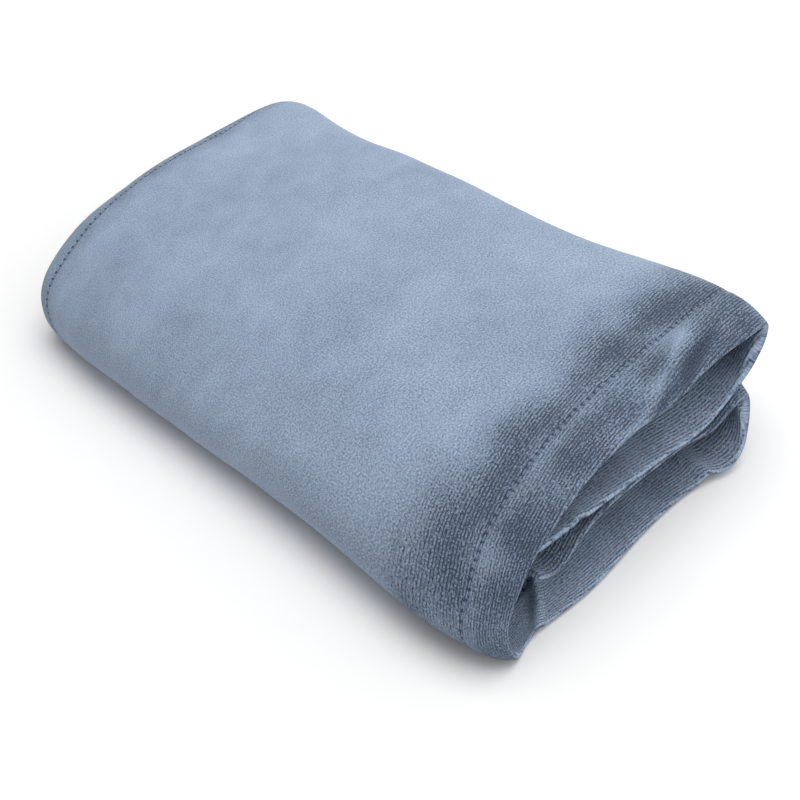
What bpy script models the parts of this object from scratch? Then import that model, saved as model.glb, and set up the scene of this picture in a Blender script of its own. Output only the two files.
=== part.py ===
"""A quick dry towel, folded for the shelf.

The towel is one piece of short-pile microfibre velour with a hem on all four sides, each hem held
by a lockstitch seam of a needle thread and a bobbin thread. Both ends are folded in to the middle
like a gate, and the gate is folded shut. A section across the bundle then runs: side edge, upper
inner layer, upper nose, top layer, back fold, bottom layer, lower nose, lower inner layer, side
edge. The pile side faces out. At the far end the layers sink, because the hems hang down there.

The frame: +Z up, +Y along the bundle from its open near end to its far end, and +X from the back
fold to the two noses. The origin is the middle of the bottom face, which lies on the table.
"""

import math

import bmesh
import bpy

# The folded bundle, in metres.
FLAT_WIDTH = 0.800
BUNDLE_LENGTH = 0.312
NEAR_HEIGHT = 0.072
FAR_HEIGHT = 0.063
END_HEIGHT = 0.046
INNER_LAYER_GAP = 0.0024
SIDE_EDGE_SETBACK = 0.0367

# The cloth, its hems and its seams.
CLOTH_THICKNESS = 0.0016
HEM_THICKNESS = 0.0031
END_HEM_WIDTH = 0.026
SIDE_HEM_WIDTH = 0.026
THREAD_DIAMETER = 0.0006
TOUCH_GAP = 0.0003
THREAD_INSET = 0.00005

# How finely the folds and the sinking far hem are cut.
NOSE_STEPS = 9
BACK_FOLD_STEPS = 14
FOLD_STEPS = (1, NOSE_STEPS, 1, BACK_FOLD_STEPS, 1, NOSE_STEPS, 1)
FAR_HEM_STEPS = 4
THREAD_ROUNDNESS = 2

VELOUR_BLUE = (0.150, 0.215, 0.330)
END_HEM_BLUE = (0.165, 0.232, 0.350)
SIDE_HEM_BLUE = (0.135, 0.195, 0.305)
NEEDLE_THREAD_BLUE = (0.060, 0.085, 0.150)
BOBBIN_THREAD_BLUE = (0.075, 0.100, 0.170)

# What follows from them: the groove that a seam lies in, and where each band of cloth ends.
GROOVE = THREAD_DIAMETER + 2 * TOUCH_GAP
NEAR_Y = -BUNDLE_LENGTH / 2
FAR_Y = BUNDLE_LENGTH / 2
NEAR_HEM_Y = NEAR_Y + END_HEM_WIDTH
FAR_HEM_Y = FAR_Y - END_HEM_WIDTH
FIELD_START_Y = NEAR_HEM_Y + GROOVE
FIELD_END_Y = FAR_HEM_Y - GROOVE
FIELD_ROWS = (FIELD_START_Y, FIELD_END_Y)
FIELD_EDGE = SIDE_HEM_WIDTH + GROOVE
NEEDLE_DEPTH = THREAD_INSET + THREAD_DIAMETER / 2
BOBBIN_DEPTH = NEEDLE_DEPTH + THREAD_DIAMETER + TOUCH_GAP


def clear_scene():
    for old in list(bpy.data.objects):
        bpy.data.objects.remove(old, do_unlink=True)


def new_material(name, colour, roughness):
    material = bpy.data.materials.new(name)
    material.use_nodes = True
    shader = material.node_tree.nodes["Principled BSDF"]
    shader.inputs["Base Color"].default_value = (*colour, 1.0)
    shader.inputs["Roughness"].default_value = roughness
    shader.inputs["Metallic"].default_value = 0.0
    material.diffuse_color = (*colour, 1.0)
    return material


def nose_radius(height):
    return (height - INNER_LAYER_GAP) / 4


def bundle_width():
    """The width that FLAT_WIDTH of cloth folds to, with its side edges short of the back fold."""
    height = (NEAR_HEIGHT + FAR_HEIGHT) / 2
    nose = nose_radius(height)
    back = height / 2
    arcs = math.pi * (2 * nose + back)
    return (FLAT_WIDTH - arcs + 4 * nose + 2 * back + 2 * SIDE_EDGE_SETBACK) / 4


def height_at(y):
    """The bundle's height: a gentle taper, then a bend down where the far hem sinks."""
    if y <= FAR_HEM_Y:
        return NEAR_HEIGHT + (FAR_HEIGHT - NEAR_HEIGHT) * (y - NEAR_Y) / (FAR_HEM_Y - NEAR_Y)
    sunk = (y - FAR_HEM_Y) / END_HEM_WIDTH
    return FAR_HEIGHT - (FAR_HEIGHT - END_HEIGHT) * sunk**2


class Section:
    """The pile side of the cloth across the bundle, at one place along its length.

    A point is found by s, its length along the cloth from the upper side edge, and by its depth
    below the pile. The seven parts are the layers and the folds between them, in order.
    """

    def __init__(self, y):
        self.height = height_at(y)
        self.nose = nose_radius(self.height)
        self.back = self.height / 2
        self.nose_x = bundle_width() / 2 - self.nose
        self.back_x = self.back - bundle_width() / 2
        self.side_edge_x = SIDE_EDGE_SETBACK - bundle_width() / 2
        inner_layer = self.nose_x - self.side_edge_x
        nose_arc = math.pi * self.nose
        outer_layer = self.nose_x - self.back_x
        back_arc = math.pi * self.back
        self.ends = [0.0]
        for length in (
            inner_layer,
            nose_arc,
            outer_layer,
            back_arc,
            outer_layer,
            nose_arc,
            inner_layer,
        ):
            self.ends.append(self.ends[-1] + length)

    def length_at(self, place):
        """A place is a side edge, upper or lower, and the distance in from it."""
        edge, distance = place
        return distance if edge == "upper" else self.ends[-1] - distance

    def lengths_between(self, start, end):
        """Lengths along the cloth between two places, with steps round each fold."""
        start_s, end_s = self.length_at(start), self.length_at(end)
        lengths = [start_s]
        for low, high, count in zip(self.ends, self.ends[1:], FOLD_STEPS):
            for step in range(1, count + 1):
                s = low + (high - low) * step / count
                if start_s + TOUCH_GAP < s < end_s - TOUCH_GAP:
                    lengths.append(s)
        lengths.append(end_s)
        return lengths

    def point(self, s, depth):
        part = sum(s > end for end in self.ends[1:-1])
        along = s - self.ends[part]
        if part == 0:
            return self.side_edge_x + along, self.height - 2 * self.nose + depth
        if part == 1:
            angle = along / self.nose - math.pi / 2
            return on_arc(self.nose_x, self.height - self.nose, self.nose - depth, angle)
        if part == 2:
            return self.nose_x - along, self.height - depth
        if part == 3:
            angle = along / self.back + math.pi / 2
            return on_arc(self.back_x, self.back, self.back - depth, angle)
        if part == 4:
            return self.back_x + along, depth
        if part == 5:
            angle = along / self.nose - math.pi / 2
            return on_arc(self.nose_x, self.nose, self.nose - depth, angle)
        return self.nose_x - along, 2 * self.nose - depth


def on_arc(x, z, radius, angle):
    return x + radius * math.cos(angle), z + radius * math.sin(angle)


def cloth_band(name, material, start, end, rows_at, thickness):
    """A band of cloth from start to end across it: its pile side, thickened towards its back."""
    shape = bmesh.new()
    rows = []
    for y in rows_at:
        section = Section(y)
        row = []
        for s in section.lengths_between(start, end):
            x, z = section.point(s, 0.0)
            row.append(shape.verts.new((x, y, z)))
        rows.append(row)
    for near, far in zip(rows, rows[1:]):
        for i in range(len(near) - 1):
            shape.faces.new((near[i], far[i], far[i + 1], near[i + 1]))
    mesh = bpy.data.meshes.new(name)
    shape.to_mesh(mesh)
    shape.free()
    mesh.materials.append(material)
    mesh.shade_smooth()
    band = bpy.data.objects.new(name, mesh)
    ply = band.modifiers.new("ply", "SOLIDIFY")
    ply.thickness = thickness
    ply.offset = -1.0
    ply.use_even_offset = True
    return band


def thread(name, material, points):
    """A sewing thread: one round tube, closed at both ends."""
    curve = bpy.data.curves.new(name, "CURVE")
    curve.dimensions = "3D"
    curve.bevel_depth = THREAD_DIAMETER / 2
    curve.bevel_resolution = THREAD_ROUNDNESS
    curve.use_fill_caps = True
    spline = curve.splines.new("POLY")
    spline.points.add(len(points) - 1)
    for place, point in zip(spline.points, points):
        place.co = (*point, 1.0)
    curve.materials.append(material)
    return bpy.data.objects.new(name, curve)


def end_seam(name, material, y, depth):
    """A thread across the cloth, in the groove between an end hem and the field."""
    section = Section(y)
    points = []
    for s in section.lengths_between(("upper", TOUCH_GAP), ("lower", TOUCH_GAP)):
        x, z = section.point(s, depth)
        points.append((x, y, z))
    return thread(name, material, points)


def side_seam(name, material, edge, depth):
    """A thread along the bundle, in the groove between a side hem and the field."""
    points = []
    for y in FIELD_ROWS:
        section = Section(y)
        s = section.length_at((edge, SIDE_HEM_WIDTH + GROOVE / 2))
        x, z = section.point(s, depth)
        points.append((x, y, z))
    return thread(name, material, points)


def cloth_pieces():
    """The field of the towel, and its four turned hems."""
    velour = new_material("velour", VELOUR_BLUE, 0.95)
    end_hem = new_material("end_hem", END_HEM_BLUE, 0.95)
    side_hem = new_material("side_hem", SIDE_HEM_BLUE, 0.95)
    upper_edge, lower_edge = ("upper", 0.0), ("lower", 0.0)
    upper_stitches, lower_stitches = ("upper", SIDE_HEM_WIDTH), ("lower", SIDE_HEM_WIDTH)
    field_start, field_end = ("upper", FIELD_EDGE), ("lower", FIELD_EDGE)
    near_rows = (NEAR_Y, NEAR_HEM_Y)
    far_rows = []
    for step in range(FAR_HEM_STEPS + 1):
        far_rows.append(FAR_HEM_Y + END_HEM_WIDTH * step / FAR_HEM_STEPS)
    bands = (
        ("towel_field", velour, field_start, field_end, FIELD_ROWS, CLOTH_THICKNESS),
        ("near_hem", end_hem, upper_edge, lower_edge, near_rows, HEM_THICKNESS),
        ("far_hem", end_hem, upper_edge, lower_edge, far_rows, HEM_THICKNESS),
        ("upper_side_hem", side_hem, upper_edge, upper_stitches, FIELD_ROWS, HEM_THICKNESS),
        ("lower_side_hem", side_hem, lower_stitches, lower_edge, FIELD_ROWS, HEM_THICKNESS),
    )
    return [cloth_band(*band) for band in bands]


def thread_pieces():
    """A needle thread on the pile side and a bobbin thread on the back, along each hem."""
    pieces = []
    for kind, colour, depth in (
        ("needle", NEEDLE_THREAD_BLUE, NEEDLE_DEPTH),
        ("bobbin", BOBBIN_THREAD_BLUE, BOBBIN_DEPTH),
    ):
        material = new_material(f"{kind}_thread", colour, 0.6)
        pieces += [
            end_seam(f"near_{kind}_thread", material, NEAR_HEM_Y + GROOVE / 2, depth),
            end_seam(f"far_{kind}_thread", material, FAR_HEM_Y - GROOVE / 2, depth),
            side_seam(f"upper_side_{kind}_thread", material, "upper", depth),
            side_seam(f"lower_side_{kind}_thread", material, "lower", depth),
        ]
    return pieces


clear_scene()
towel = bpy.data.collections.new("quick_dry_towel")
bpy.context.scene.collection.children.link(towel)
for piece in cloth_pieces() + thread_pieces():
    towel.objects.link(piece)
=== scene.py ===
import math

import bmesh
import bpy
import numpy as np
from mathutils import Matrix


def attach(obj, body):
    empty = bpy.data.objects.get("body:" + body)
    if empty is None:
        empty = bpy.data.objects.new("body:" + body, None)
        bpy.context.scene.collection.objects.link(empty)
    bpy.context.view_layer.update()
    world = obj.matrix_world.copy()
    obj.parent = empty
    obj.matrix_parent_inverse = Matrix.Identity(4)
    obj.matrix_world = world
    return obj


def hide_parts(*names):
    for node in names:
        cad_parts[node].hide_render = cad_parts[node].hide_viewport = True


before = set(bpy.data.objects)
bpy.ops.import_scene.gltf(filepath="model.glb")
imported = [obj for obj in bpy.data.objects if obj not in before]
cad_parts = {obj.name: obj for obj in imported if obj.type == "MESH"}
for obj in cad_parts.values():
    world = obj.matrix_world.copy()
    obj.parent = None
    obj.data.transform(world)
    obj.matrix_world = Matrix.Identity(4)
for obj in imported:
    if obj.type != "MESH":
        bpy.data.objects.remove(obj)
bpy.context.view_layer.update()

# ---- The towel's field -----------------------------------------------------------------------------
# One piece of short-pile microfibre velour, all of the towel between its hems. Both ends were
# folded in to the middle and the gate folded shut, so the pile faces out and a section across the
# bundle shows four layers between two noses and the back fold.

MM = 0.001
CLOTH_WIDTH = 800.0
CLOTH_LENGTH = 340.0
HEM_WIDTH = 26.0
PLY = 1.6
FAR_STITCHES = CLOTH_LENGTH - HEM_WIDTH
OTHER_SIDE_STITCHES = CLOTH_WIDTH - HEM_WIDTH

# The fold is a loft. Each outline crosses the cloth from the upper side edge to the lower one, in
# millimetres, on its pile side: upper inner layer, upper nose, top, back fold, bottom, lower nose,
# lower inner layer. Each of these seven has a line of its own, and the last has two.
NEAR_EDGE = (
    (-65, -149, 43), (-43, -150, 41), (-8, -152, 39.5), (25, -152, 35), (54, -153, 33), (76, -153, 39),
    (89.5, -153.5, 48.5), (99.5, -152, 57.5), (98, -151.5, 66),
    (82, -151, 69.5), (56, -150, 70), (32, -150, 66), (-0.5, -149, 66.5), (-30.5, -149, 63),
    (-48.5, -150, 56.5), (-67, -151, 45.5), (-80, -153, 31.5), (-87, -155.5, 19), (-83.5, -158.5, 4),
    (-74, -156, 0.5), (-40, -157.5, 0), (0, -156, 0), (38, -155.5, 0), (60, -160, 2),
    (76, -163, 7), (88.5, -157, 18), (89, -153, 29),
    (69, -153, 26.5), (50, -152, 29), (22, -151, 33.9), (-8, -151, 37.8),
    (-32, -151, 33), (-47, -151, 22), (-62, -151, 32),
)
NEAR_STITCH = (
    (-70, -125, 37), (-45, -125, 37), (-8, -125, 37), (25, -125, 37), (54, -125, 37), (80, -125, 37),
    (101, -125, 43), (109.5, -125, 56), (102.5, -125, 68),
    (82, -125, 73), (54, -125, 73.5), (28, -125, 74), (-4, -125, 71), (-34, -126, 66),
    (-56, -128, 58), (-76, -131, 47), (-90, -136, 34), (-98, -140, 19), (-92, -142, 5),
    (-76, -140, 0), (-40, -135, 0), (0, -132, 0), (40, -130, 0), (70, -130, 0),
    (89, -131, 5), (100, -131, 20), (97, -129, 34),
    (78, -127, 33.8), (54, -127, 34.8), (25, -127, 34.8), (-8, -127, 34.8),
    (-32, -127, 34), (-50, -127, 33), (-66, -127, 33),
)
BODY_NEAR = (
    (-78, -75, 37), (-48, -75, 37), (-8, -75, 37), (25, -75, 37), (54, -75, 37), (78, -75, 37),
    (96, -75, 42), (103, -75, 54), (97, -75, 66),
    (78, -75, 71.5), (52, -75, 73), (26, -75, 73), (-4, -75, 70.5), (-34, -75, 65.5),
    (-57, -75, 58), (-77, -76, 47), (-92.5, -77, 34), (-98.5, -78, 19), (-91.5, -79, 5),
    (-76, -80, 0), (-40, -80, 0), (0, -80, 0), (40, -80, 0), (70, -80, 0),
    (87, -80, 5), (95, -80, 18), (88, -80, 31),
    (76, -80, 34), (54, -80, 34.8), (25, -80, 34.8), (-8, -80, 34.8),
    (-32, -80, 34.5), (-52, -80, 34), (-74, -80, 34),
)
BODY_FAR = (
    (-68, 60, 34), (-44, 60, 34), (-10, 60, 34), (22, 60, 34), (50, 60, 34), (72, 60, 34),
    (88, 60, 40), (95, 60, 51), (88.5, 60, 63),
    (74, 60, 68), (48, 60, 69.5), (22, 60, 68.5), (-4, 60, 66), (-32, 60, 61.5),
    (-55, 60, 55), (-73, 60, 45.5), (-89, 60, 33), (-95, 60, 19), (-89, 60, 5),
    (-74, 58, 0), (-40, 58, 0), (0, 58, 0), (38, 58, 0), (66, 58, 0),
    (86, 58, 4.5), (93, 58, 16), (86, 58, 28),
    (72, 58, 32), (50, 58, 32), (22, 58, 32), (-8, 58, 32),
    (-30, 58, 32), (-48, 58, 32), (-66, 58, 32),
)
SHOULDER = (
    (-62, 115, 33), (-40, 115, 33), (-8, 115, 33), (22, 115, 33), (50, 115, 33), (71, 116, 33),
    (88, 117, 38), (95.5, 118, 49), (89.5, 118, 60),
    (73, 118, 64.5), (47, 118, 66), (22, 118, 65.5), (-4, 118, 63), (-31, 118, 58.5),
    (-54, 118, 52.5), (-72.5, 118, 43.5), (-87.5, 117, 32), (-93.5, 116, 18.5), (-88, 115, 5),
    (-71, 114, 0), (-39, 114, 0), (0, 114, 0), (37, 114, 0), (64, 114, 0),
    (83, 115, 4.5), (90, 116, 15.5), (84, 116, 27),
    (70, 115, 31), (48, 115, 31), (21, 115, 31), (-8, 115, 31),
    (-29, 115, 31), (-46, 115, 31), (-61, 115, 31),
)
FAR_STITCH = (
    (-58, 134, 31), (-38, 134, 31), (-8, 134, 31), (22, 134, 31), (48, 134, 31), (68, 134, 31),
    (83, 142, 36), (90.5, 145.5, 47), (85, 149, 57),
    (70, 151, 61.5), (46, 149.5, 61.5), (22, 149, 61.5), (-4, 149, 60), (-30, 149, 56.5),
    (-52, 148, 51), (-71, 146, 42), (-85.5, 144, 30), (-90, 139, 18), (-86, 134, 5),
    (-68, 130, 0), (-38, 129, 0), (0, 129, 0), (36, 129, 0), (62, 129, 0),
    (80, 134, 4.5), (87, 138, 15), (82, 138, 26),
    (68, 134, 29), (46, 132, 29), (20, 132, 29), (-8, 132, 29),
    (-28, 132, 29), (-43, 132, 29), (-57, 132, 29),
)
FAR_BEND = (
    (-54, 143, 29), (-36, 143, 28.5), (-8, 143, 28), (20, 143, 28), (46, 143, 28), (65, 145, 28.5),
    (76, 148, 32), (82, 151, 41), (76, 154, 49.5),
    (64, 157, 54.5), (43, 158, 56), (22, 157, 56), (-4, 157, 54.5), (-30, 157, 51),
    (-52, 157, 47), (-70, 155.5, 39), (-83, 152, 28), (-87, 148, 16), (-83, 144, 5),
    (-64, 143, 0), (-36, 142, 0), (0, 142, 0), (34, 142, 0), (58, 142, 0),
    (75, 146, 4), (82, 149, 13), (77, 148, 23),
    (64, 144, 26), (43, 142, 26), (18, 142, 26), (-8, 142, 26),
    (-27, 142, 26), (-43, 142, 26), (-57, 142, 26),
)
FAR_EDGE = (
    (-50, 150, 27), (-34, 150, 26), (-8, 150, 25), (20, 150, 25), (44, 150, 25), (62, 152, 26),
    (69, 152, 26), (75, 155, 31), (70, 158, 37),
    (59, 160, 40), (40, 161, 40.5), (20, 160, 40), (-4, 160, 39), (-28, 160, 36.5),
    (-46, 159, 33), (-60, 158, 27), (-70, 157, 20), (-75, 156, 12), (-72, 155, 4),
    (-60, 155, 0), (-34, 155, 0), (0, 155, 0), (32, 155, 0), (54, 155, 0),
    (70, 156, 4), (76, 157, 12), (72, 156, 20),
    (60, 152, 23), (40, 150, 23), (16, 150, 23), (-8, 150, 23),
    (-26, 150, 23), (-42, 150, 23), (-54, 150, 23),
)

# Where each outline crosses the cloth, in millimetres from the near edge.
BY_NEAR_HEM = 76.0
OUTLINES = (
    (0.0, NEAR_EDGE),
    (HEM_WIDTH, NEAR_STITCH),
    (BY_NEAR_HEM, BODY_NEAR),
    (212.0, BODY_FAR),
    (280.0, SHOULDER),
    (FAR_STITCHES, FAR_STITCH),
    (326.0, FAR_BEND),
    (CLOTH_LENGTH, FAR_EDGE),
)


def spline_weights(knots, at):
    """Weights that give a natural cubic spline's values at each place from its values at the knots."""
    knots, at = np.asarray(knots, float), np.asarray(at, float)
    gaps = np.diff(knots)
    bend, rise = np.zeros((2, len(knots), len(knots)))
    bend[0, 0] = bend[-1, -1] = 1.0
    for i in range(1, len(knots) - 1):
        before, after = gaps[i - 1], gaps[i]
        bend[i, i - 1 : i + 2] = before / 6, (before + after) / 3, after / 6
        rise[i, i - 1 : i + 2] = 1 / before, -1 / before - 1 / after, 1 / after
    curvature = np.linalg.solve(bend, rise)
    i = np.clip(np.searchsorted(knots, at, side="right") - 1, 0, len(knots) - 2)
    gap = gaps[i]
    to_next = (at - knots[i]) / gap
    to_last = 1 - to_next
    rows = np.arange(len(at))
    weights = np.zeros((len(at), len(knots)))
    weights[rows, i] += to_last
    weights[rows, i + 1] += to_next
    weights += ((to_last**3 - to_last) * gap**2 / 6)[:, None] * curvature[i]
    weights += ((to_next**3 - to_next) * gap**2 / 6)[:, None] * curvature[i + 1]
    return weights


loft = np.array([outline for _, outline in OUTLINES], float)
outline_places = [place for place, _ in OUTLINES]
chords = np.linalg.norm(np.diff(loft[:, :, ::2], axis=1), axis=2).mean(0)
point_places = np.concatenate([[0.0], np.cumsum(chords)]) * CLOTH_WIDTH / chords.sum()


def lay(s, v):
    """The pile side of the folded cloth at s across it and v along it, before its pile and puckers."""
    across, along = spline_weights(point_places, s), spline_weights(outline_places, v)
    return np.einsum("vk,sj,kjc->vsc", along, across, loft)


def smooth(x, start, end):
    """0 before start and 1 after end, with a smooth rise between."""
    t = np.clip((x - start) / (end - start), 0, 1)
    return t * t * (3 - 2 * t)


def rumple(s, v, pitch, seed):
    """Smooth random heights from about -1 to 1, whose hills are this pitch apart."""
    s_places = np.arange(-pitch, CLOTH_WIDTH + 2 * pitch, pitch)
    v_places = np.arange(-pitch, CLOTH_LENGTH + 2 * pitch, pitch)
    heights = np.random.default_rng(seed).uniform(-1, 1, (len(v_places), len(s_places)))
    return spline_weights(v_places, v) @ heights @ spline_weights(s_places, s).T


# Puckers: place across, place along, half-width across, half-width along, height, and how far the
# fold leans across the cloth for each millimetre along it.
PUCKERS = (
    (256.0, 13.5, 12.0, 7.5, 4.2, -2.5),
    (242.0, 7.0, 11.0, 5.5, -4.8, -2.5),
    (246.0, 1.5, 7.0, 4.0, 2.4, -2.5),
    (287.0, 2.5, 7.0, 4.0, 2.6, -2.2),
    (274.0, 3.0, 8.0, 4.0, -2.0, -2.2),
    (318.0, 34.0, 60.0, 6.0, -0.7, 0.0),
    (250.0, 36.0, 40.0, 7.0, -0.9, 0.0),
    (345.0, 4.0, 7.0, 5.0, 0.9, -0.8),
    (372.0, 5.0, 6.0, 6.0, -0.9, -0.6),
    (205.0, 9.0, 6.0, 9.0, -1.2, -0.8),
    (33.0, 3.0, 3.0, 12.0, -1.4, 0.0),
    (461.0, 14.0, 3.5, 15.0, -4.2, 0.74),
    (579.0, 8.0, 5.0, 16.0, -3.0, -0.4),
    (592.0, 8.0, 5.0, 12.0, 1.2, -0.4),
)

# The hem is full and the cloth uneven only over the top, from the upper nose to the back fold. Each
# of these reaches starts and stops with a slope, given by its two places across the cloth.
PUFFED = ((160, 200), (440, 470))
RUMPLED = ((150, 190), (420, 450))
HEM_PUFF = 1.3
HEM_ROUNDNESS = 0.8
RUMPLE_HEIGHTS = ((60.0, 0.9, 1), (24.0, 0.28, 2))


def within(places, reach):
    """1 inside a reach, 0 outside it, and a slope at both its ends."""
    start, stop = reach
    return smooth(places, *start) * (1 - smooth(places, *stop))


def puckers(s, v):
    """Height of the puckers alone."""
    height = np.zeros((len(v), len(s)))
    for s_at, v_at, s_half, v_half, rise, lean in PUCKERS:
        along = v - v_at
        across = s[None, :] - s_at - lean * along[:, None]
        height += rise * np.exp(-((across / s_half) ** 2) - (along[:, None] / v_half) ** 2)
    return height


def relief(s, v):
    """Height of the puckers, the full hem and the gentle unevenness that a folded cloth keeps."""
    height = puckers(s, v)
    puff = HEM_PUFF * np.sin(math.pi * np.clip(v / HEM_WIDTH, 0, 1)) ** HEM_ROUNDNESS
    height += puff[:, None] * within(s, PUFFED)
    on_top = within(s, RUMPLED)
    for pitch, rise, seed in RUMPLE_HEIGHTS:
        height += rise * on_top * rumple(s, v, pitch, seed)
    return height


# The knit under the pile shows as ribs wherever the pile is parted: by the near hem, along its edge
# and in its puckers, and a little by the far hem.
RIB_PITCH = 1.5
RIB_HEIGHT = 0.26
RIB_TILT = 0.09
GROOVE_DEPTH = 0.6
GROOVE_HALF_WIDTH = 0.9
HEM_THICKNESS = 2.8
RIB_WANDER = 0.35
RIB_WANDER_PITCH = 9.0
UPPER_NOSE = 172.0
LOWER_NOSE = 628.0

# Where the pile is parted, along the cloth, and how far. The slopes are places in millimetres.
NEAR_PARTING = (34, 66)
PARTING_WAVER = 7
WAVER_PITCH = 60.0
STITCHED_DOWN = ((15, 21), (25.5, 26.5))
STITCHED_DOWN_LESS = 0.3
FAR_PARTING = (300, 314)
FAR_PARTED = 0.4
HEM_PARTING = (18, 25)
HEM_PARTED = 0.2
PATCH_PITCH = 13.0
PATCH_LEVEL = 0.8
PATCH_SPREAD = 0.3
# Painted shade in the puckers' valleys and painted light on their ridges, by how far the pile is
# parted there:
VALLEY_PARTED_AND_SHADED = 0.42
RIDGE_CLOSED_AND_LIT = 0.18
MOST_PARTED = 2.0


def parted(s, v):
    """How far the pile is parted: 0 on the brushed field, 1 by the near hem, more in its puckers."""
    waver = PARTING_WAVER * rumple(s, np.array([0.0]), WAVER_PITCH, 5)[0]
    near = 1 - smooth(v[:, None] - waver[None, :], *NEAR_PARTING)
    by_stitches = within(v, STITCHED_DOWN)[:, None]
    far = (FAR_PARTED * smooth(v, *FAR_PARTING))[:, None]
    on_hem = (HEM_PARTED * (1 - smooth(v, *HEM_PARTING)))[:, None]
    patchy = PATCH_LEVEL + PATCH_SPREAD * rumple(s, v, PATCH_PITCH, 3)
    rise = puckers(s, v)
    # The puckers part the pile more in their valleys and less on their ridges. Besides the ribs that
    # show, this paints shade into the valleys and light onto the ridges.
    pucker_parting_and_shade = -VALLEY_PARTED_AND_SHADED * np.minimum(rise, 0) - RIDGE_CLOSED_AND_LIT * np.maximum(rise, 0)
    share = (near * (1 - STITCHED_DOWN_LESS * by_stitches) + far + on_hem) * patchy + pucker_parting_and_shade * near
    return np.clip(share, 0, MOST_PARTED)


def ribs(s, v):
    """The knit's ribs, from 0 in a furrow to 1 on a rib."""
    wander = RIB_WANDER * rumple(s, v, RIB_WANDER_PITCH, 4)
    turns = (v[:, None] + RIB_TILT * s[None, :]) / RIB_PITCH + wander
    return 0.5 + 0.5 * np.cos(2 * math.pi * turns)


def grooves(s, v):
    """How deep the four seams pull the cloth in."""
    depth = np.zeros((len(v), len(s)))
    for seam in (HEM_WIDTH, FAR_STITCHES):
        depth = np.maximum(depth, np.exp(-(((v - seam) / GROOVE_HALF_WIDTH) ** 2))[:, None])
    for seam in (HEM_WIDTH, OTHER_SIDE_STITCHES):
        depth = np.maximum(depth, np.exp(-(((s - seam) / GROOVE_HALF_WIDTH) ** 2))[None, :])
    return GROOVE_DEPTH * depth


def lay_with_relief(s, v):
    """The cloth's pile side with its puckers, and its normals."""
    step = 0.4
    middle = lay(s, v)
    across = lay(s + step, v) - lay(s - step, v)
    along = lay(s, v + step) - lay(s, v - step)
    normals = np.cross(along, across)
    normals /= np.linalg.norm(normals, axis=2, keepdims=True)
    return middle + normals * relief(s, v)[:, :, None], normals


PLIES_MEET = 3


def hem_share(s, v):
    """0 on a seam and on the field, 1 on a hem clear of its seam, where the cloth is doubled."""
    along = smooth(HEM_WIDTH - v, 0, PLIES_MEET) + smooth(v - FAR_STITCHES, 0, PLIES_MEET)
    upper = smooth(HEM_WIDTH - s, 0, PLIES_MEET)
    lower = smooth(s - OTHER_SIDE_STITCHES, 0, PLIES_MEET)
    return np.maximum(along[:, None], (upper + lower)[None, :])


BUNCHING = 1.3
BUNCHED = (3, 20)
UPPER_BUNCH = 15
LOWER_BUNCH = 14


def bunching(s, v):
    """How much thicker the near hem grows where it buckles inside a nose."""
    by_upper = np.exp(-(((s - UPPER_NOSE) / UPPER_BUNCH) ** 2))
    by_lower = np.exp(-(((s - LOWER_NOSE) / LOWER_BUNCH) ** 2))
    by_noses = by_upper + by_lower
    return 1 + BUNCHING * (1 - smooth(v, *BUNCHED))[:, None] * by_noses[None, :]


def rounding(s, v):
    """How far a fold at the cloth's own edge has turned in, from 0 to 1 at the very edge."""
    radius = HEM_THICKNESS / 2
    to_edge = np.minimum(
        np.minimum(v, CLOTH_LENGTH - v)[:, None], np.minimum(s, CLOTH_WIDTH - s)[None, :]
    )
    inside = np.clip(1 - to_edge / radius, 0, 1)
    return 1 - np.sqrt(1 - inside**2)


def places_along(*legs):
    """Places from legs of start, end and step."""
    runs = []
    for start, end, step in legs:
        count = round((end - start) / step) + 1
        runs.append(np.linspace(start, end, count))
    return np.unique(np.round(np.concatenate(runs), 4))


def edge_places(edge, inward):
    """Places that follow the round fold at the cloth's edge."""
    angles = np.linspace(0, math.pi / 2, 7)
    return edge + inward * HEM_THICKNESS / 2 * (1 - np.cos(angles))


# The knit shows on the wrong side too, where its ribs stand a little lower and the pile is never
# quite closed.
BACK_RIBS = 0.7
BACK_GROOVE = 0.5
BACK_PARTED_MORE = 0.15
BACK_PARTED = (0.45, 1.0)
SAME_POINT = 1e-6


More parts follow.
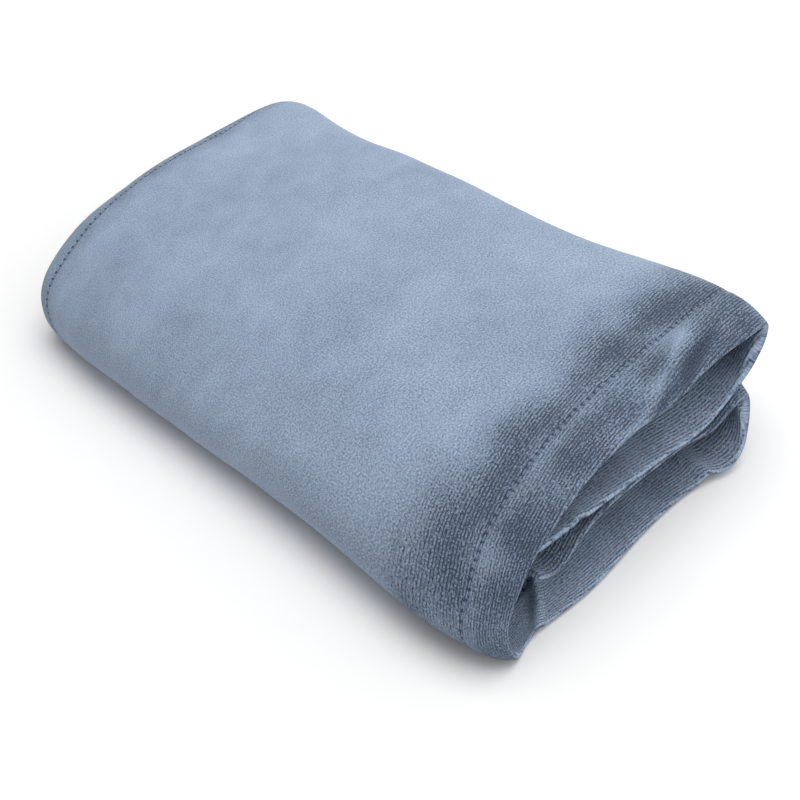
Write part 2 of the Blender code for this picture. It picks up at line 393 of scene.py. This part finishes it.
def cloth_piece(name, material, s, v, node):
    """A closed piece of the cloth: its pile side, its back, and the walls round them."""
    outline, normals = lay_with_relief(s, v)
    open_pile = parted(s, v)
    turned_in = rounding(s, v)
    hem = hem_share(s, v)
    thickness = (PLY + (HEM_THICKNESS - PLY) * hem) * bunching(s, v)
    knit = RIB_HEIGHT * ribs(s, v) * np.minimum(open_pile, 1) * (1 - turned_in)
    groove = grooves(s, v)
    up = knit - groove - turned_in * HEM_THICKNESS / 2
    rim = turned_in * (thickness - HEM_THICKNESS / 2)
    down = thickness + BACK_RIBS * knit - BACK_GROOVE * groove - rim
    pile_side = outline + normals * up[:, :, None]
    back_side = outline - normals * down[:, :, None]
    rows, columns = up.shape
    count = rows * columns
    points = np.concatenate([pile_side.reshape(-1, 3), back_side.reshape(-1, 3)])
    index = np.arange(count).reshape(rows, columns)
    quads = []
    low, high = index[:-1], index[1:]
    corners = (low[:, :-1], high[:, :-1], high[:, 1:], low[:, 1:])
    quads.append(np.stack([c.ravel() for c in corners], 1))
    quads.append(np.stack([c.ravel() + count for c in corners[::-1]], 1))
    round_it = np.concatenate([index[0, :], index[1:, -1], index[-1, -2::-1], index[-2::-1, 0]])
    start, end = round_it[:-1], round_it[1:]
    quads.append(np.stack([start, end, end + count, start + count], 1))
    mesh = bpy.data.meshes.new(name)
    mesh.from_pydata(points * MM, [], np.concatenate(quads).tolist())
    across, along = np.meshgrid(s * MM, v * MM)
    cloth_place = np.stack([across.ravel(), along.ravel()], 1)
    cloth_place = np.concatenate([cloth_place, cloth_place])
    corner_vertices = np.zeros(len(mesh.loops), np.int32)
    mesh.loops.foreach_get("vertex_index", corner_vertices)
    layer = mesh.uv_layers.new(name="cloth")
    layer.uv.foreach_set("vector", cloth_place[corner_vertices].astype(np.float32).ravel())
    shown = mesh.attributes.new("parted", "FLOAT", "POINT")
    back_parted = np.clip(open_pile + BACK_PARTED_MORE, *BACK_PARTED)
    shown.data.foreach_set(
        "value", np.concatenate([open_pile.ravel(), back_parted.ravel()]).astype(np.float32)
    )
    wrong_side = mesh.attributes.new("wrong_side", "FLOAT", "POINT")
    wrong_side.data.foreach_set("value", np.repeat([0.0, 1.0], count).astype(np.float32))
    shape = bmesh.new()
    shape.from_mesh(mesh)
    bmesh.ops.remove_doubles(shape, verts=shape.verts, dist=SAME_POINT)
    shape.to_mesh(mesh)
    shape.free()
    mesh.shade_smooth()
    mesh.materials.append(material)
    piece = bpy.data.objects.new(name, mesh)
    bpy.context.scene.collection.objects.link(piece)
    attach(piece, "root")
    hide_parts(node)
    return piece


def new_node(tree, kind, settings=(), **inputs):
    """A node of this kind with these settings and input values."""
    node = tree.nodes.new(kind)
    for setting, value in settings:
        setattr(node, setting, value)
    for name, value in inputs.items():
        node.inputs[name.replace("_", " ")].default_value = value
    return node


# How the pile looks. Patterns are given by how many of their hills lie on a metre of cloth, bands by
# where a pattern turns from low to high, and the rest by how much each one lightens or darkens.
STITCH = 4.0
PILE_ROUGHNESS = 0.92
PILE_GLOSS = 0.12
SHEEN = 0.35
SHEEN_SPREAD = 0.45
SHEEN_BLUE = (0.75, 0.85, 1.0, 1.0)
CLOUDS = 24.0
CLOUD_TURN = math.radians(-50)
CLOUD_STRETCH = (0.45, 1.0, 1.0)
CLOUD_SHARE = 0.36
NAP = 75.0
NAP_SHARE = 0.26
GRAIN = 1150.0
GRAIN_BAND = (0.3, 0.7)
GRAIN_SHARE = 0.6
GRAIN_MORE_IF_PARTED = 0.1
GRAIN_FADE = 0.22
GRAIN_FADES_ALONG = (0.06, 0.28)
TUFTS = 1000.0
TUFT_STRETCH = (0.42, 1.0, 1.0)
TUFT_BAND = (0.34, 0.54)
FURROW_BAND = (0.12, 0.62)
LOWEST_TONE = 0.28
PARTED_SHADE = 0.34
# The wrong side is lighter. This is partly the back's own tone and partly painted light for the shaded
# pockets at the near end.
BACK_TONE_AND_POCKET_LIGHT = 0.36
CREASE = (0.0002, 0.0014)
CREASE_SHADE = 0.1
# A painted highlight in a thin band along the round fold at the near and far edges.
LIP_HIGHLIGHT_BAND = (0.0004, 0.0016)
LIP_HIGHLIGHT = 0.05
STITCH_HOLE = (0.0005, 0.0012)
HOLE_SHADE = 0.9
PILE_RISE = 0.45
PILE_RISE_IF_PARTED = 0.5
FURROW_DROP = 0.9
PILE_BUMP = 0.0005


def velour(name, deep, bright, furrow_shade):
    """Short cut pile: clouds where the nap lies over, a fine grain, and ribs where it is parted."""
    material = bpy.data.materials.new(name)
    material.use_nodes = True
    tree = material.node_tree
    link = tree.links.new
    shader = tree.nodes["Principled BSDF"]
    shader.inputs["Roughness"].default_value = PILE_ROUGHNESS
    shader.inputs["Specular IOR Level"].default_value = PILE_GLOSS
    shader.inputs["Sheen Weight"].default_value = SHEEN
    shader.inputs["Sheen Roughness"].default_value = SHEEN_SPREAD
    shader.inputs["Sheen Tint"].default_value = SHEEN_BLUE
    cloth = new_node(tree, "ShaderNodeUVMap", [("uv_map", "cloth")])
    open_pile = new_node(tree, "ShaderNodeAttribute", [("attribute_name", "parted")])
    wrong_side = new_node(tree, "ShaderNodeAttribute", [("attribute_name", "wrong_side")])

    brushed = new_node(tree, "ShaderNodeMapping")
    brushed.inputs["Rotation"].default_value = (0.0, 0.0, CLOUD_TURN)
    brushed.inputs["Scale"].default_value = CLOUD_STRETCH
    link(cloth.outputs["UV"], brushed.inputs["Vector"])
    clouds = new_node(tree, "ShaderNodeTexNoise", Scale=CLOUDS, Detail=3.0, Roughness=0.55)
    link(brushed.outputs["Vector"], clouds.inputs["Vector"])
    nap = new_node(tree, "ShaderNodeTexNoise", Scale=NAP, Detail=3.0, Roughness=0.6)
    link(cloth.outputs["UV"], nap.inputs["Vector"])
    grain = new_node(tree, "ShaderNodeTexNoise", Scale=GRAIN, Detail=1.5, Roughness=0.6)
    link(cloth.outputs["UV"], grain.inputs["Vector"])

    tilted = new_node(tree, "ShaderNodeMapping")
    tilted.inputs["Rotation"].default_value = (0.0, 0.0, math.atan(RIB_TILT))
    link(cloth.outputs["UV"], tilted.inputs["Vector"])
    wave = new_node(
        tree,
        "ShaderNodeTexWave",
        [("wave_type", "BANDS"), ("bands_direction", "Y")],
        Scale=2 * math.pi / (20 * RIB_PITCH * MM),
        Distortion=2.0,
        Detail=2.0,
        Detail_Scale=1.8,
    )
    link(tilted.outputs["Vector"], wave.inputs["Vector"])
    loops = new_node(tree, "ShaderNodeMapping")
    loops.inputs["Scale"].default_value = TUFT_STRETCH
    link(tilted.outputs["Vector"], loops.inputs["Vector"])
    tufts = new_node(tree, "ShaderNodeTexNoise", Scale=TUFTS, Detail=1.0, Roughness=0.5)
    link(loops.outputs["Vector"], tufts.inputs["Vector"])
    parts = new_node(tree, "ShaderNodeSeparateXYZ")
    link(cloth.outputs["UV"], parts.inputs["Vector"])

    def calc(operation, first, second=0.0, clamp=False):
        """A sum on values or on other nodes' outputs. Some sums need only the first."""
        node = new_node(tree, "ShaderNodeMath", [("operation", operation), ("use_clamp", clamp)])
        for socket, value in zip(node.inputs, (first, second)):
            if isinstance(value, float):
                socket.default_value = value
            else:
                link(value, socket)
        return node.outputs["Value"]

    def spread(value, low, high):
        """The value moved from the range low to high to the range 0 to 1, and held there."""
        return calc("DIVIDE", calc("SUBTRACT", value, low), high - low, clamp=True)

    openness = open_pile.outputs["Fac"]
    place_across, place_along = parts.outputs["X"], parts.outputs["Y"]
    furrow = calc("SUBTRACT", 1.0, spread(wave.outputs["Fac"], *FURROW_BAND))
    furrow = calc("MULTIPLY", furrow, spread(tufts.outputs["Fac"], *TUFT_BAND))
    furrow = calc("MULTIPLY", furrow, openness)
    speckle = calc("SUBTRACT", spread(grain.outputs["Fac"], *GRAIN_BAND), 0.5)
    from_far_edge = calc("SUBTRACT", CLOTH_LENGTH * MM, place_along)
    from_edge = calc("MINIMUM", place_along, from_far_edge)
    beside_seam = calc("ABSOLUTE", calc("SUBTRACT", from_edge, HEM_WIDTH * MM))
    beside_hole = calc("PINGPONG", place_across, STITCH * MM / 2)
    hole_squared = calc("ADD", calc("POWER", beside_seam, 2.0), calc("POWER", beside_hole, 2.0))
    hole = calc("SUBTRACT", 1.0, spread(calc("SQRT", hole_squared), *STITCH_HOLE))
    crease = calc("SUBTRACT", 1.0, spread(beside_seam, *CREASE))
    fading = calc("MULTIPLY", spread(place_along, *GRAIN_FADES_ALONG), GRAIN_FADE)
    sparkle = calc("ADD", GRAIN_SHARE, calc("MULTIPLY", openness, GRAIN_MORE_IF_PARTED))
    sparkle = calc("SUBTRACT", sparkle, fading)

    tone = calc("ADD", calc("MULTIPLY", clouds.outputs["Fac"], CLOUD_SHARE), LOWEST_TONE)
    tone = calc("ADD", tone, calc("MULTIPLY", nap.outputs["Fac"], NAP_SHARE))
    tone = calc("ADD", tone, calc("MULTIPLY", speckle, sparkle))
    tone = calc("SUBTRACT", tone, calc("MULTIPLY", openness, PARTED_SHADE))
    # Lighter wrong side: partly the back's own tone, partly painted light in the shaded pockets of the
    # near end where the back shows.
    tone = calc("ADD", tone, calc("MULTIPLY", wrong_side.outputs["Fac"], BACK_TONE_AND_POCKET_LIGHT))
    tone = calc("SUBTRACT", tone, calc("MULTIPLY", furrow, furrow_shade))
    tone = calc("SUBTRACT", tone, calc("MULTIPLY", crease, CREASE_SHADE))
    # Painted highlight: the round fold at the near and far edges is lightened where its lip catches
    # the light.
    lip_highlight = calc("SUBTRACT", 1.0, spread(from_edge, *LIP_HIGHLIGHT_BAND))
    tone = calc("ADD", tone, calc("MULTIPLY", lip_highlight, LIP_HIGHLIGHT))
    tone = calc("SUBTRACT", tone, calc("MULTIPLY", hole, HOLE_SHADE), clamp=True)
    ramp = new_node(tree, "ShaderNodeMix", [("data_type", "RGBA")])
    link(tone, ramp.inputs["Factor"])
    for socket in ramp.inputs:
        if socket.type == "RGBA":
            shade = deep if socket.name == "A" else bright
            socket.default_value = (*shade, 1.0)
    colour = next(socket for socket in ramp.outputs if socket.type == "RGBA")
    link(colour, shader.inputs["Base Color"])

    tip_rise = calc("ADD", PILE_RISE, calc("MULTIPLY", openness, PILE_RISE_IF_PARTED))
    pile_rise = calc("MULTIPLY", grain.outputs["Fac"], tip_rise)
    pile_rise = calc("SUBTRACT", pile_rise, calc("MULTIPLY", furrow, FURROW_DROP))
    bump = new_node(tree, "ShaderNodeBump", Strength=0.9, Distance=PILE_BUMP)
    link(pile_rise, bump.inputs["Height"])
    link(bump.outputs["Normal"], shader.inputs["Normal"])
    return material


VELOUR_DEEP = (0.050, 0.072, 0.115)
# The field's bright end is a little lighter than the hems' below, though both are one cloth: painted
# light on the field.
FIELD_BRIGHT_LIT = (0.445, 0.550, 0.715)
FURROW_SHADE = 0.5
BY_SIDE_HEM = 31.0

field_s = places_along(
    (HEM_WIDTH, BY_SIDE_HEM, 0.6),
    (BY_SIDE_HEM, CLOTH_WIDTH - BY_SIDE_HEM, 3.0),
    (CLOTH_WIDTH - BY_SIDE_HEM, OTHER_SIDE_STITCHES, 0.6),
)
field_v = places_along(
    (HEM_WIDTH, 30.0, 0.4),
    (30.0, BY_NEAR_HEM, 0.5),
    (BY_NEAR_HEM, 308.0, 3.2),
    (308.0, FAR_STITCHES, 0.6),
)
velour_blue_lit = velour("velour_blue_lit", VELOUR_DEEP, FIELD_BRIGHT_LIT, FURROW_SHADE)
towel_field = cloth_piece("velour_field", velour_blue_lit, field_s, field_v, "towel_field")

# ---- The end hems ----------------------------------------------------------------------------------
# The near and far edges of the same velour, turned under 26 mm and stitched down. They lie double,
# so they stand a little proud of the field and end in a round fold. The far one hangs down.

HEM_DEEP = (0.050, 0.072, 0.115)
HEM_BRIGHT = (0.430, 0.535, 0.695)

hem_blue = velour("hem_blue", HEM_DEEP, HEM_BRIGHT, FURROW_SHADE)
edge_radius = HEM_THICKNESS / 2
hem_s = np.concatenate(
    [
        edge_places(0.0, 1.0),
        places_along(
            (edge_radius + 0.6, HEM_WIDTH, 1.2),
            (HEM_WIDTH, OTHER_SIDE_STITCHES, 2.2),
            (OTHER_SIDE_STITCHES, CLOTH_WIDTH - edge_radius - 0.6, 1.2),
        ),
        edge_places(CLOTH_WIDTH, -1.0)[::-1],
    ]
)
near_v = np.concatenate([edge_places(0.0, 1.0), places_along((edge_radius + 0.4, HEM_WIDTH, 0.42))])
far_v = np.concatenate(
    [
        places_along((FAR_STITCHES, CLOTH_LENGTH - edge_radius - 0.5, 0.8)),
        edge_places(CLOTH_LENGTH, -1.0)[::-1],
    ]
)
near_hem = cloth_piece("turned_near_hem", hem_blue, hem_s, near_v, "near_hem")
far_hem = cloth_piece("turned_far_hem", hem_blue, hem_s, far_v, "far_hem")

# ---- The side hems ---------------------------------------------------------------------------------
# The two sides of the towel, turned under in the same way. Folded in, they lie in the middle of the
# bundle, and only their corners show between the layers.

side_v = places_along((HEM_WIDTH, 30.0, 0.8), (30.0, 310.0, 2.5), (310.0, FAR_STITCHES, 0.8))
upper_s = np.concatenate([edge_places(0.0, 1.0), places_along((edge_radius + 0.6, HEM_WIDTH, 0.9))])
lower_s = np.sort(CLOTH_WIDTH - upper_s)
upper_side_hem = cloth_piece(
    "turned_upper_side_hem", hem_blue, upper_s, side_v, "upper_side_hem"
)
lower_side_hem = cloth_piece(
    "turned_lower_side_hem", hem_blue, lower_s, side_v, "lower_side_hem"
)

# ---- The seams -------------------------------------------------------------------------------------
# A lockstitch along each hem: a needle thread on the pile side that dives through the cloth every
# four millimetres, and a bobbin thread that does the same on the back. They pull a groove in it.

STITCH_POINTS = 8
THREAD_RADIUS = 0.28
DIVE_SHARPNESS = 6
# How high a thread rides over the bottom of its groove, and how far it dives at a hole.
NEEDLE_RIDE = 0.12
NEEDLE_DIVE = 0.75
BOBBIN_RIDE = 0.1
BOBBIN_DIVE = 0.6
NEEDLE_DARK = (0.13, 0.175, 0.26)
BOBBIN_DARK = (0.085, 0.115, 0.175)
LIT_PLY = 2.2


def thread_material(name, colour):
    """Spun polyester: two twisted plies, with a soft gloss."""
    material = bpy.data.materials.new(name)
    material.use_nodes = True
    tree = material.node_tree
    link = tree.links.new
    shader = tree.nodes["Principled BSDF"]
    shader.inputs["Roughness"].default_value = 0.55
    shader.inputs["Sheen Weight"].default_value = 0.2
    place = new_node(tree, "ShaderNodeTexCoord")
    twist = new_node(
        tree,
        "ShaderNodeTexWave",
        [("wave_type", "BANDS"), ("bands_direction", "DIAGONAL")],
        Scale=520.0,
        Distortion=0.6,
    )
    link(place.outputs["Object"], twist.inputs["Vector"])
    shades = new_node(tree, "ShaderNodeValToRGB")
    shades.color_ramp.elements[0].color = (*colour, 1.0)
    shades.color_ramp.elements[1].color = (*(LIT_PLY * part for part in colour), 1.0)
    link(twist.outputs["Fac"], shades.inputs["Fac"])
    link(shades.outputs["Color"], shader.inputs["Base Color"])
    bump = new_node(tree, "ShaderNodeBump", Strength=0.6, Distance=0.00015)
    link(twist.outputs["Fac"], bump.inputs["Height"])
    link(bump.outputs["Normal"], shader.inputs["Normal"])
    return material


def seam_thread(name, material, across, along, on_pile, node):
    """One thread of a seam, along the cloth places given by across and along."""
    place, normal = lay_with_relief(across, along)
    place, normal = place.reshape(-1, 3), normal.reshape(-1, 3)
    dive = np.abs(np.cos(math.pi * np.arange(len(place)) / STITCH_POINTS)) ** DIVE_SHARPNESS
    if on_pile:
        height = THREAD_RADIUS - GROOVE_DEPTH + NEEDLE_RIDE - NEEDLE_DIVE * dive
    else:
        resting = BACK_GROOVE * GROOVE_DEPTH - PLY - THREAD_RADIUS + BOBBIN_RIDE
        height = resting + BOBBIN_DIVE * dive
    centres = place + normal * height[:, None]
    curve = bpy.data.curves.new(name, "CURVE")
    curve.dimensions = "3D"
    curve.bevel_depth = THREAD_RADIUS * MM
    curve.bevel_resolution = 1
    curve.use_fill_caps = True
    spline = curve.splines.new("POLY")
    spline.points.add(len(centres) - 1)
    for point, centre in zip(spline.points, centres * MM):
        point.co = (*centre, 1.0)
    curve.materials.append(material)
    piece = bpy.data.objects.new(name, curve)
    bpy.context.scene.collection.objects.link(piece)
    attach(piece, "root")
    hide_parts(node)
    return piece


needle_dark = thread_material("needle_dark", NEEDLE_DARK)
bobbin_dark = thread_material("bobbin_dark", BOBBIN_DARK)
point_step = STITCH / STITCH_POINTS
end_run = np.arange(STITCH, CLOTH_WIDTH - 1.0, point_step)
side_run = np.arange(7 * STITCH, FAR_STITCHES - 1.0, point_step)
SEAMS = (
    ("near", end_run, np.array([HEM_WIDTH])),
    ("far", end_run, np.array([FAR_STITCHES])),
    ("upper_side", np.array([HEM_WIDTH]), side_run),
    ("lower_side", np.array([OTHER_SIDE_STITCHES]), side_run),
)
for seam, across, along in SEAMS:
    seam_thread(
            f"{seam}_needle_stitches",
            needle_dark,
            across,
            along,
            True,
            f"{seam}_needle_thread",
        )
    seam_thread(
            f"{seam}_bobbin_stitches",
            bobbin_dark,
            across,
            along,
            False,
            f"{seam}_bobbin_thread",
        )

# ---- The table, light and camera -------------------------------------------------------------------
# A plain pale table under one large softbox overhead, in a white studio that is lighter above, on
# the side of the noses and before the near end. The camera looks down on the open near end.

FLOOR_HALF = 12.0
FLOOR_DROP = 0.0012
PALE = (0.93, 0.93, 0.93)
floor_shape = bmesh.new()
bmesh.ops.create_grid(floor_shape, x_segments=1, y_segments=1, size=FLOOR_HALF)
floor_mesh = bpy.data.meshes.new("floor")
floor_shape.to_mesh(floor_mesh)
floor_shape.free()
floor = bpy.data.objects.new("floor", floor_mesh)
floor.location.z = -FLOOR_DROP
paper = bpy.data.materials.new("pale_paper")
paper.use_nodes = True
paper_shader = paper.node_tree.nodes["Principled BSDF"]
paper_shader.inputs["Base Color"].default_value = (*PALE, 1.0)
paper_shader.inputs["Roughness"].default_value = 0.9
paper_shader.inputs["Specular IOR Level"].default_value = 0.0
floor_mesh.materials.append(paper)
bpy.context.scene.collection.objects.link(floor)

SKY_LEVEL = 0.37
SKY_TILT = (0.36, -0.48, 0.45)
world = bpy.data.worlds.new("studio")
world.use_nodes = True
sky = world.node_tree.nodes["Background"]
sky.inputs["Color"].default_value = (1.0, 1.0, 1.0, 1.0)
direction = world.node_tree.nodes.new("ShaderNodeTexCoord")
leaning = world.node_tree.nodes.new("ShaderNodeVectorMath")
leaning.operation = "DOT_PRODUCT"
leaning.inputs[1].default_value = SKY_TILT
level = world.node_tree.nodes.new("ShaderNodeMath")
level.operation = "ADD"
level.inputs[1].default_value = SKY_LEVEL
world.node_tree.links.new(direction.outputs["Generated"], leaning.inputs[0])
world.node_tree.links.new(leaning.outputs["Value"], level.inputs[0])
world.node_tree.links.new(level.outputs["Value"], sky.inputs["Strength"])
bpy.context.scene.world = world


def softbox(name, place, aim, size, watts):
    """A square area light that points at aim."""
    lamp = bpy.data.lights.new(name, "AREA")
    lamp.size = size
    lamp.energy = watts
    box = bpy.data.objects.new(name, lamp)
    box.location = place
    towards = np.array(aim) - np.array(place)
    tilt = math.atan2(math.hypot(towards[0], towards[1]), -towards[2])
    heading = math.atan2(towards[1], towards[0]) - math.pi / 2
    box.rotation_euler = (tilt, 0.0, heading)
    bpy.context.scene.collection.objects.link(box)


OVERHEAD_PLACE = (0.18, 0.1, 1.6)
OVERHEAD_SIZE = 1.4
OVERHEAD_WATTS = 15.4
softbox("overhead", OVERHEAD_PLACE, (0.0, 0.0, 0.0), OVERHEAD_SIZE, OVERHEAD_WATTS)

CAMERA_PLACE = (-0.39185, -0.37618, 0.5051)
CAMERA_ELEVATION = math.radians(43.5)
CAMERA_AZIMUTH = math.radians(-47.44)
SENSOR_WIDTH = 36.0
FOCAL_LENGTH = 67.5
lens = bpy.data.cameras.new("camera")
lens.sensor_width = SENSOR_WIDTH
lens.lens = FOCAL_LENGTH
lens.clip_start = 0.01
camera = bpy.data.objects.new("camera", lens)
camera.location = CAMERA_PLACE
camera.rotation_euler = (math.pi / 2 - CAMERA_ELEVATION, 0.0, CAMERA_AZIMUTH)
bpy.context.scene.collection.objects.link(camera)
bpy.context.scene.camera = camera
bpy.context.scene.view_settings.view_transform = "Standard"
